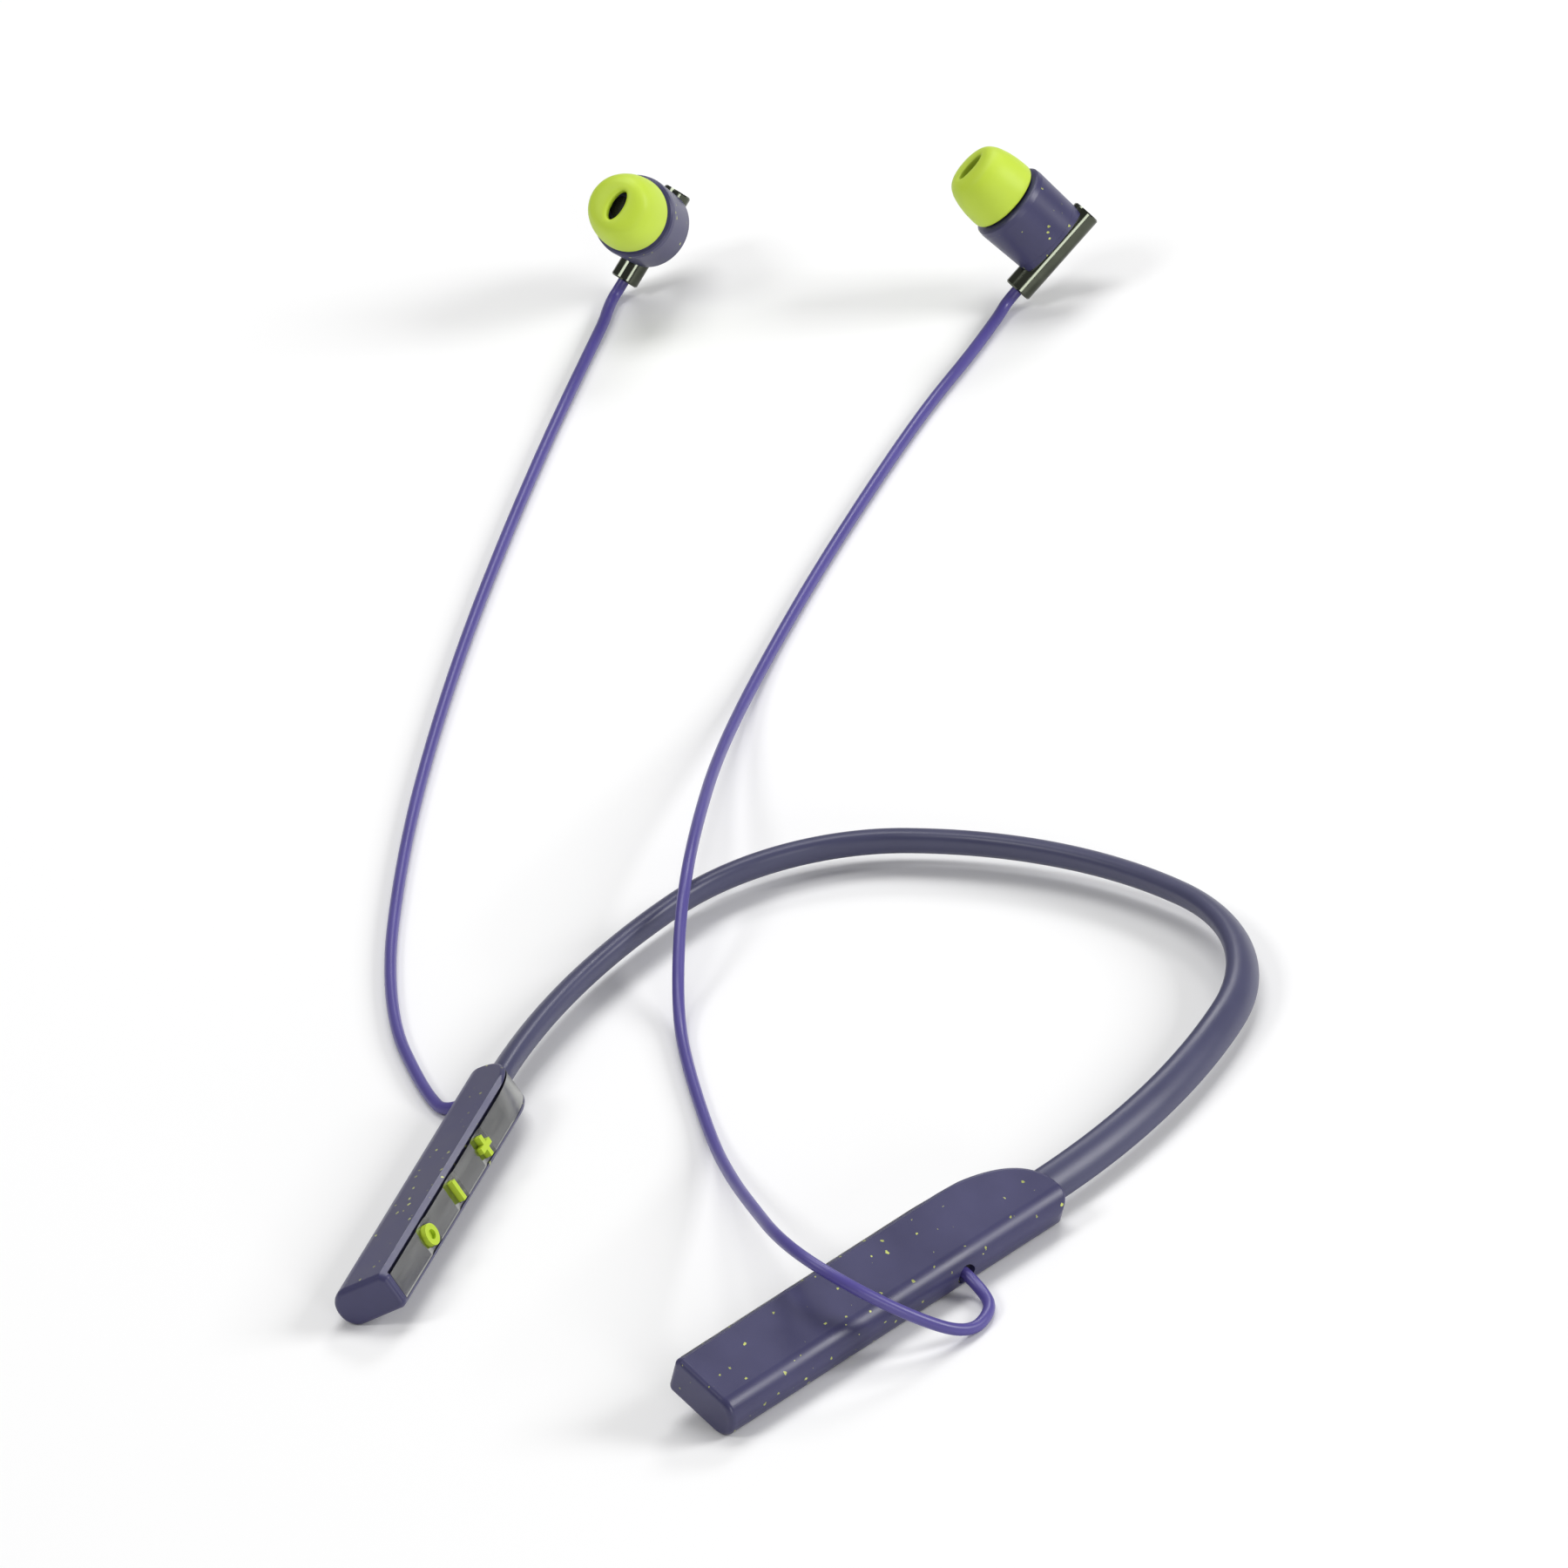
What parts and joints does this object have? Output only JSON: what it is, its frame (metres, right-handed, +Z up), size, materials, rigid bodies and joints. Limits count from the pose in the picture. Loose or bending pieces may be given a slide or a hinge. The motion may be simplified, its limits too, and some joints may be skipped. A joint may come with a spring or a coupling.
{
  "type": "neckband earphones",
  "caption": "Flexible neckband with a battery and a control module at its ends and two corded in-ear earbuds with silicone tips.",
  "frame": {"origin": "centre of the wearer's neck opening, level with the surface the earphones lie on", "axes": "+Z up from that surface, +Y towards the nape end of the band, +X towards the battery module (the wearer's right when worn)"},
  "size_m": [0.2405, 0.337, 0.0287],
  "materials": {
    "band_silicone": "satin",
    "spring_steel": "brushed",
    "cable_jacket": "satin",
    "cord_jacket": "satin",
    "speckled_plastic": "satin with sparse pale green flecks",
    "gunmetal_panel": "satin metallic",
    "lime_key": "satin",
    "lime_silicone": "satin",
    "dark_metal_bar": "gloss metallic",
    "circuit_board": "satin",
    "shield_steel": "brushed",
    "socket_steel": "polished",
    "cell_foil": "satin",
    "magnet_plating": "polished",
    "mesh_steel": "fine mesh",
    "led_resin": "gloss",
    "clear_pipe": "clear",
    "black_plastic": "matte"
  },
  "bodies": {
    "neckband": {"band_sleeve": "band_silicone", "battery_cell": "cell_foil", "battery_module_shell": "speckled_plastic", "battery_protection_board": "circuit_board", "battery_trim_panel": "gunmetal_panel", "control_module_shell": "speckled_plastic", "control_panel": "gunmetal_panel", "key_board": "circuit_board", "left_band_anchor": "black_plastic", "left_bottom_cover": "speckled_plastic", "left_bud_bar": "dark_metal_bar", "left_bud_cord_bush": "black_plastic", "left_bud_driver": "black_plastic", "left_bud_housing": "speckled_plastic", "left_bud_magnet": "magnet_plating", "left_bud_rear_cover": "speckled_plastic", "left_cord": "cord_jacket", "left_cord_gland": "black_plastic", "left_nozzle_mesh": "mesh_steel", "light_pipe": "clear_pipe", "link_cable": "cable_jacket", "main_board": "circuit_board", "microphone": "black_plastic", "radio_shield": "shield_steel", "right_band_anchor": "black_plastic", "right_bottom_cover": "speckled_plastic", "right_bud_bar": "dark_metal_bar", "right_bud_cord_bush": "black_plastic", "right_bud_driver": "black_plastic", "right_bud_housing": "speckled_plastic", "right_bud_magnet": "magnet_plating", "right_bud_rear_cover": "speckled_plastic", "right_cord": "cord_jacket", "right_cord_gland": "black_plastic", "right_nozzle_mesh": "mesh_steel", "spring_core_wire": "spring_steel", "status_led": "led_resin", "tact_switches": "black_plastic", "usb_c_socket": "socket_steel"},
    "volume_up_key": {"volume_up_key": "lime_key"},
    "volume_down_key": {"volume_down_key": "lime_key"},
    "multifunction_key": {"multifunction_key": "lime_key"},
    "left_ear_tip": {"left_ear_tip": "lime_silicone"},
    "right_ear_tip": {"right_ear_tip": "lime_silicone"}
  },
  "joints": [
    {"name": "volume_up_key_press", "type": "slide", "parent": "neckband", "child": "volume_up_key", "axis": [-0.8728, -0.2144, -0.4384], "range_m": [0, 0.00035], "stiffness_N_per_m": 600},
    {"name": "volume_down_key_press", "type": "slide", "parent": "neckband", "child": "volume_down_key", "axis": [-0.8728, -0.2144, -0.4384], "range_m": [0, 0.00035], "stiffness_N_per_m": 600},
    {"name": "multifunction_key_press", "type": "slide", "parent": "neckband", "child": "multifunction_key", "axis": [-0.8728, -0.2144, -0.4384], "range_m": [0, 0.00035], "stiffness_N_per_m": 600},
    {"name": "left_ear_tip_pull", "type": "slide", "parent": "neckband", "child": "left_ear_tip", "axis": [0.2135, -0.7172, 0.6634], "range_m": [0, 0.009]},
    {"name": "right_ear_tip_pull", "type": "slide", "parent": "neckband", "child": "right_ear_tip", "axis": [-0.479, -0.3251, 0.8154], "range_m": [0, 0.009]}
  ]
}
